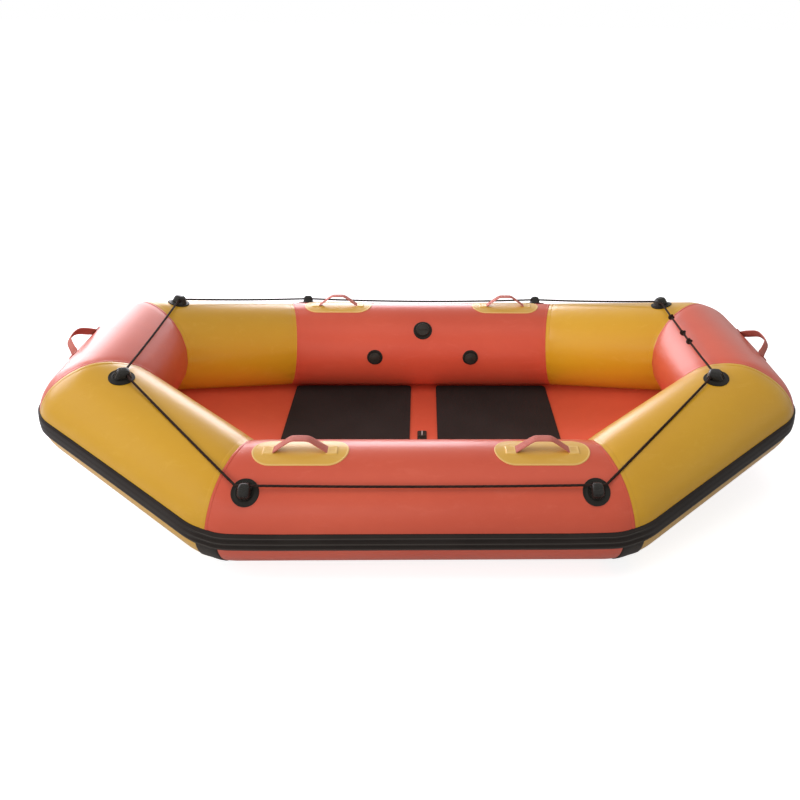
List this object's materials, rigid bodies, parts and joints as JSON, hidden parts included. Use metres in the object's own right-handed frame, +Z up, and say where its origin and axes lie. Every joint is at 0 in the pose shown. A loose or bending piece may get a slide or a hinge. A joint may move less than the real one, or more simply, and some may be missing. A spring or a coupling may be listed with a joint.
{
  "type": "inflatable raft",
  "caption": "Small two-ended inflatable raft: ring of welded tube panels with rising ends, floor with mats, strake, handles, grab line and valves.",
  "frame": {"origin": "on the ground under the middle of the raft", "axes": "+X along the raft to its right end, +Y to the side that carries the valves, +Z up"},
  "size_m": [2.3152, 1.3452, 0.4728],
  "materials": {
    "red_pvc": "satin",
    "yellow_pvc": "satin",
    "black_rubber": "satin",
    "mat_black": "matte",
    "webbing_red": "matte",
    "rope_black": "matte",
    "valve_black": "satin",
    "spring_steel": "satin"
  },
  "bodies": {
    "hull": {"baffle_back": "red_pvc", "baffle_front": "red_pvc", "drain_body": "valve_black", "end_tube_left": "red_pvc", "end_tube_right": "red_pvc", "floor_sheet": "red_pvc", "grab_line": "rope_black", "handle_back_left": "webbing_red", "handle_back_right": "webbing_red", "handle_end_left": "webbing_red", "handle_end_right": "webbing_red", "handle_front_left": "webbing_red", "handle_front_right": "webbing_red", "handle_patch_back_left": "yellow_pvc", "handle_patch_back_right": "yellow_pvc", "handle_patch_front_left": "yellow_pvc", "handle_patch_front_right": "yellow_pvc", "joining_valve_body": "valve_black", "joining_valve_nut": "valve_black", "joining_valve_seal": "black_rubber", "left_valve_body": "valve_black", "left_valve_nut": "valve_black", "left_valve_spring": "spring_steel", "mat_left": "mat_black", "mat_right": "mat_black", "quarter_tube_back_left": "yellow_pvc", "quarter_tube_back_right": "yellow_pvc", "quarter_tube_front_left": "yellow_pvc", "quarter_tube_front_right": "yellow_pvc", "right_valve_body": "valve_black", "right_valve_nut": "valve_black", "right_valve_spring": "spring_steel", "rope_holder_back_left": "valve_black", "rope_holder_back_right": "valve_black", "rope_holder_front_left": "valve_black", "rope_holder_front_right": "valve_black", "rope_holder_quarter_back_left": "valve_black", "rope_holder_quarter_back_right": "valve_black", "rope_holder_quarter_front_left": "valve_black", "rope_holder_quarter_front_right": "valve_black", "side_tube_back": "red_pvc", "side_tube_front": "red_pvc", "strake_back": "black_rubber", "strake_front": "black_rubber", "wear_patch_back_left": "black_rubber", "wear_patch_back_right": "black_rubber", "wear_patch_front_left": "black_rubber", "wear_patch_front_right": "black_rubber"},
    "left_valve_cap": {"left_valve_cap": "valve_black"},
    "right_valve_cap": {"right_valve_cap": "valve_black"},
    "left_valve_plunger": {"left_valve_plunger": "valve_black"},
    "right_valve_plunger": {"right_valve_plunger": "valve_black"},
    "joining_valve_knob": {"joining_valve_knob": "valve_black"},
    "drain_plug": {"drain_plug": "valve_black"}
  },
  "joints": [
    {"name": "left_valve_cap_turn", "type": "hinge", "parent": "hull", "child": "left_valve_cap", "pos_m": [-0.18, 0.3353, 0.18905], "axis": [0, -0.9921, 0.1253], "range_deg": [0, 90]},
    {"name": "left_valve_plunger_press", "type": "slide", "parent": "hull", "child": "left_valve_plunger", "axis": [0, 0.9921, -0.1253], "range_m": [0, 0.005], "stiffness_N_per_m": 300, "springref_m": -0.003, "deforming": ["left_valve_spring"]},
    {"name": "right_valve_cap_turn", "type": "hinge", "parent": "hull", "child": "right_valve_cap", "pos_m": [0.187, 0.3353, 0.18905], "axis": [0, -0.9921, 0.1253], "range_deg": [0, 90]},
    {"name": "right_valve_plunger_press", "type": "slide", "parent": "hull", "child": "right_valve_plunger", "axis": [0, 0.9921, -0.1253], "range_m": [0, 0.005], "stiffness_N_per_m": 300, "springref_m": -0.003, "deforming": ["right_valve_spring"]},
    {"name": "joining_valve_turn", "type": "hinge", "parent": "hull", "child": "joining_valve_knob", "pos_m": [0.0035, 0.38031, 0.28299], "axis": [0, -0.7193, 0.6947], "range_deg": [0, 90]},
    {"name": "drain_plug_turn", "type": "hinge", "parent": "hull", "child": "drain_plug", "pos_m": [0.002, 0.048, 0.02007], "axis": [0, 0, 1], "range_deg": [0, 90]}
  ]
}
